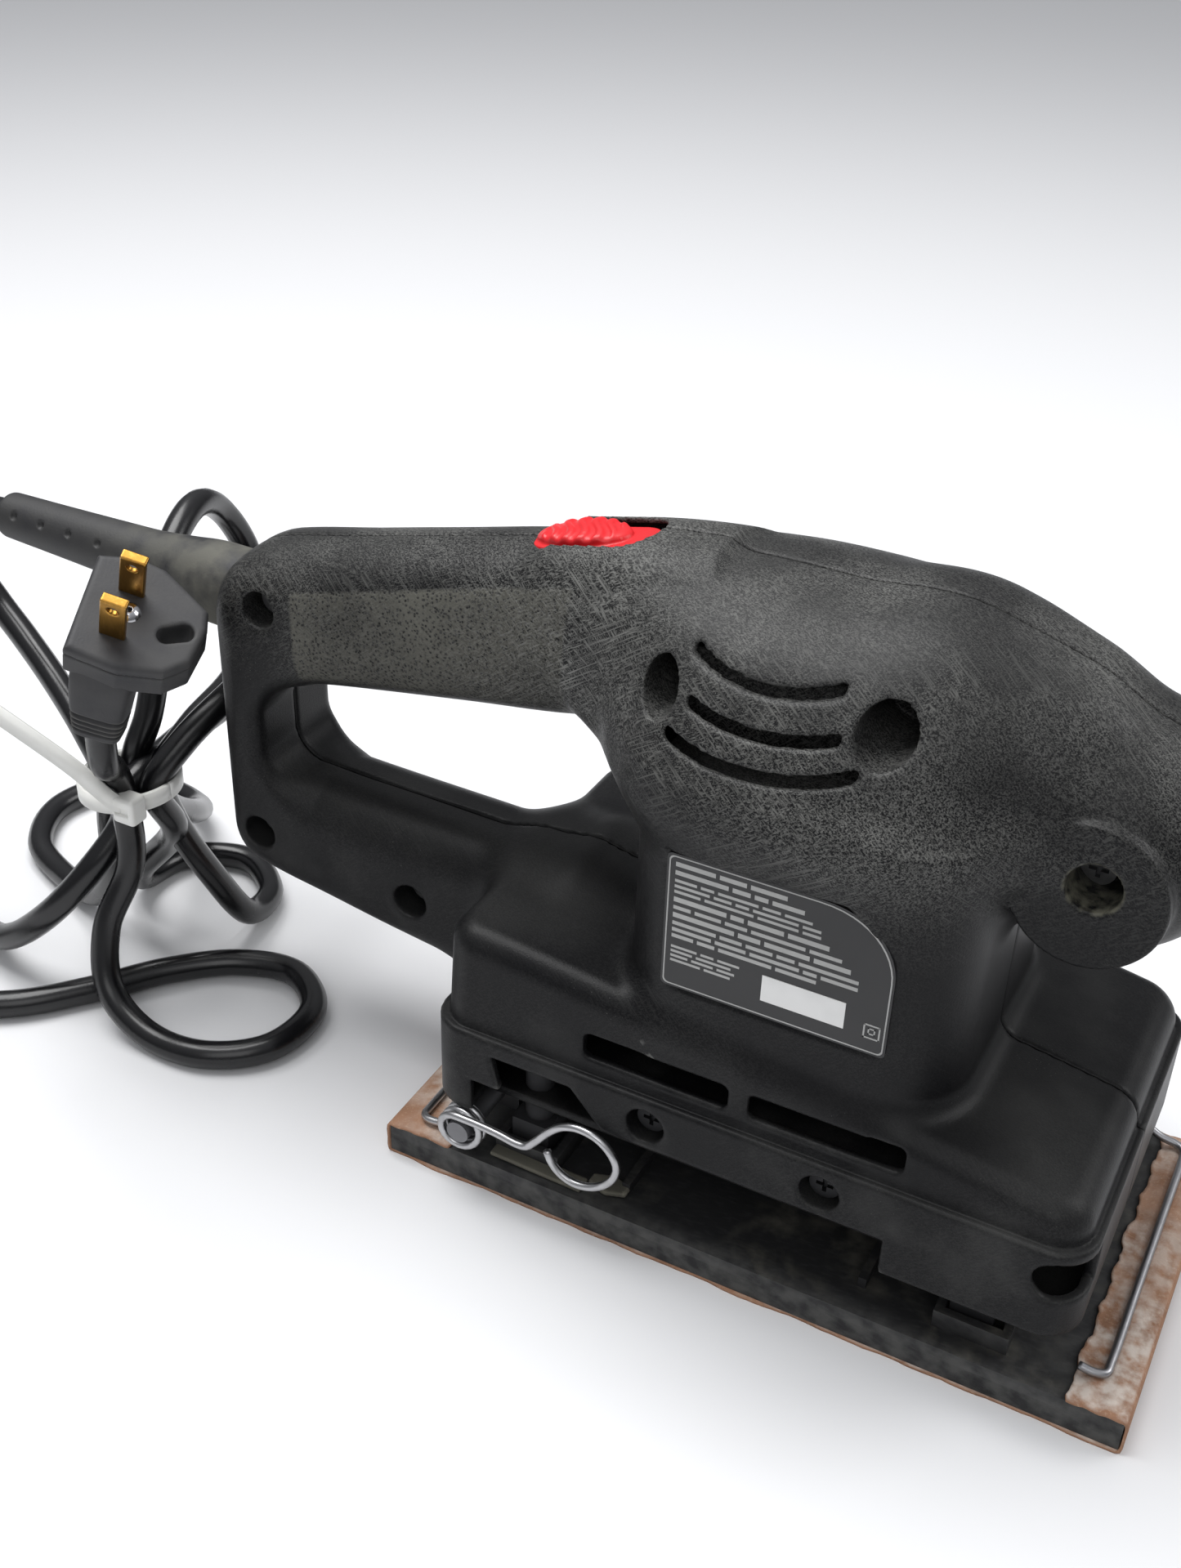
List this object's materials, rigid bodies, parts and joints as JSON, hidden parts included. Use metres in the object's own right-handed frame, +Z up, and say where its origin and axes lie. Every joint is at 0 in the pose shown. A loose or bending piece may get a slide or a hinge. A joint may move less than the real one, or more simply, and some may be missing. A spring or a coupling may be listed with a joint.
{
  "type": "orbital sander",
  "caption": "Palm and D-handle finishing sander with a rectangular platen, folded abrasive sheet, wire paper clamps, slide switch and tied mains cord.",
  "frame": {"origin": "on the floor under the motor shaft, at the sole of the abrasive sheet", "axes": "+X towards the front pommel, +Y to the tool's left, +Z up"},
  "size_m": [0.3598, 0.1159, 0.1632],
  "materials": {
    "housing": "textured moulding",
    "screw_steel": "zinc plated",
    "label": "satin film",
    "sticker": "matt",
    "red_plastic": "satin",
    "switch_case": "moulded",
    "lead_skin": "matt",
    "guard_rubber": "matt",
    "cord_skin": "satin",
    "clamp_plastic": "moulded",
    "plug_rubber": "matt",
    "brass": "stamped",
    "nylon_white": "translucent",
    "lamination": "stacked sheet",
    "enamel_copper": "wound",
    "shaft_steel": "ground",
    "carbon": "pressed",
    "bearing_steel": "polished",
    "sleeve_rubber": "matt",
    "fan_plastic": "moulded",
    "baffle_plastic": "moulded",
    "weight_zinc": "cast",
    "leg_rubber": "matt",
    "platen_plastic": "dusty",
    "pad_foam": "soft",
    "abrasive": "gritted",
    "clamp_wire_bright": "plated wire",
    "clamp_wire_grey": "plated wire",
    "bracket_steel": "pressed"
  },
  "bodies": {
    "housing": {"housing_right": "housing", "housing_left": "housing", "housing_screws": "screw_steel", "baffle_screws": "screw_steel", "rating_label": "label", "serial_sticker": "sticker", "switch_body": "switch_case", "switch_leads": "lead_skin", "strain_relief": "guard_rubber", "cord_inner_end": "cord_skin", "cord_clamp": "clamp_plastic", "cord_clamp_screws": "screw_steel", "power_cord": "cord_skin", "cord_hank": "cord_skin", "plug_cord": "cord_skin", "plug_body": "plug_rubber", "plug_blades": "brass", "cable_tie": "nylon_white", "field_stack": "lamination", "field_coils": "enamel_copper", "motor_screws": "screw_steel", "brush_holders": "brass", "upper_bearing": "bearing_steel", "lower_bearing": "bearing_steel", "bearing_sleeve": "sleeve_rubber", "fan_baffle": "baffle_plastic", "flexible_legs": "leg_rubber", "leg_screws": "screw_steel"},
    "armature": {"armature_core": "lamination", "armature_windings": "enamel_copper", "armature_shaft": "shaft_steel", "commutator": "brass", "cooling_fan": "fan_plastic", "counterweight": "weight_zinc", "counterweight_screw": "screw_steel", "bearing_retainer": "screw_steel", "retainer_screw": "screw_steel"},
    "platen": {"platen": "platen_plastic", "platen_pad": "pad_foam", "sandpaper": "abrasive", "platen_bearing": "bearing_steel", "clamp_brackets": "bracket_steel", "bracket_screws": "screw_steel"},
    "rear_clamp": {"rear_paper_clamp": "clamp_wire_bright"},
    "front_clamp": {"front_paper_clamp": "clamp_wire_grey"},
    "switch": {"switch_slider": "red_plastic"},
    "brush_r": {"brush_right": "carbon", "brush_spring_right": "screw_steel"},
    "brush_l": {"brush_left": "carbon", "brush_spring_left": "screw_steel"}
  },
  "joints": [
    {"name": "motor_spin", "type": "hinge", "parent": "housing", "child": "armature", "pos_m": [0, 0, 0.06], "axis": [0, 0, 1], "continuous": true},
    {"name": "platen_orbit", "type": "hinge", "parent": "armature", "child": "platen", "pos_m": [0.001, 0, 0.017], "axis": [0, 0, 1], "continuous": true},
    {"name": "rear_clamp_lever", "type": "hinge", "parent": "platen", "child": "rear_clamp", "pos_m": [-0.0695, -0.048, 0.0186], "axis": [0, 1, 0], "range_deg": [0, 12]},
    {"name": "front_clamp_lever", "type": "hinge", "parent": "platen", "child": "front_clamp", "pos_m": [0.0715, 0.048, 0.0186], "axis": [0, -1, 0], "range_deg": [0, 12]},
    {"name": "switch_slide", "type": "slide", "parent": "housing", "child": "switch", "axis": [0.9767, 0, 0.2147], "range_m": [0, 0.0065]},
    {"name": "brush_right_slide", "type": "slide", "parent": "housing", "child": "brush_r", "axis": [0, -1, 0], "range_m": [0, 0.0035], "stiffness_N_per_m": 300, "springref_m": -0.006},
    {"name": "brush_left_slide", "type": "slide", "parent": "housing", "child": "brush_l", "axis": [0, 1, 0], "range_m": [0, 0.0035], "stiffness_N_per_m": 300, "springref_m": -0.006}
  ],
  "couplings": [
    {"joint": "platen_orbit", "follows": "motor_spin", "ratio": -1}
  ]
}
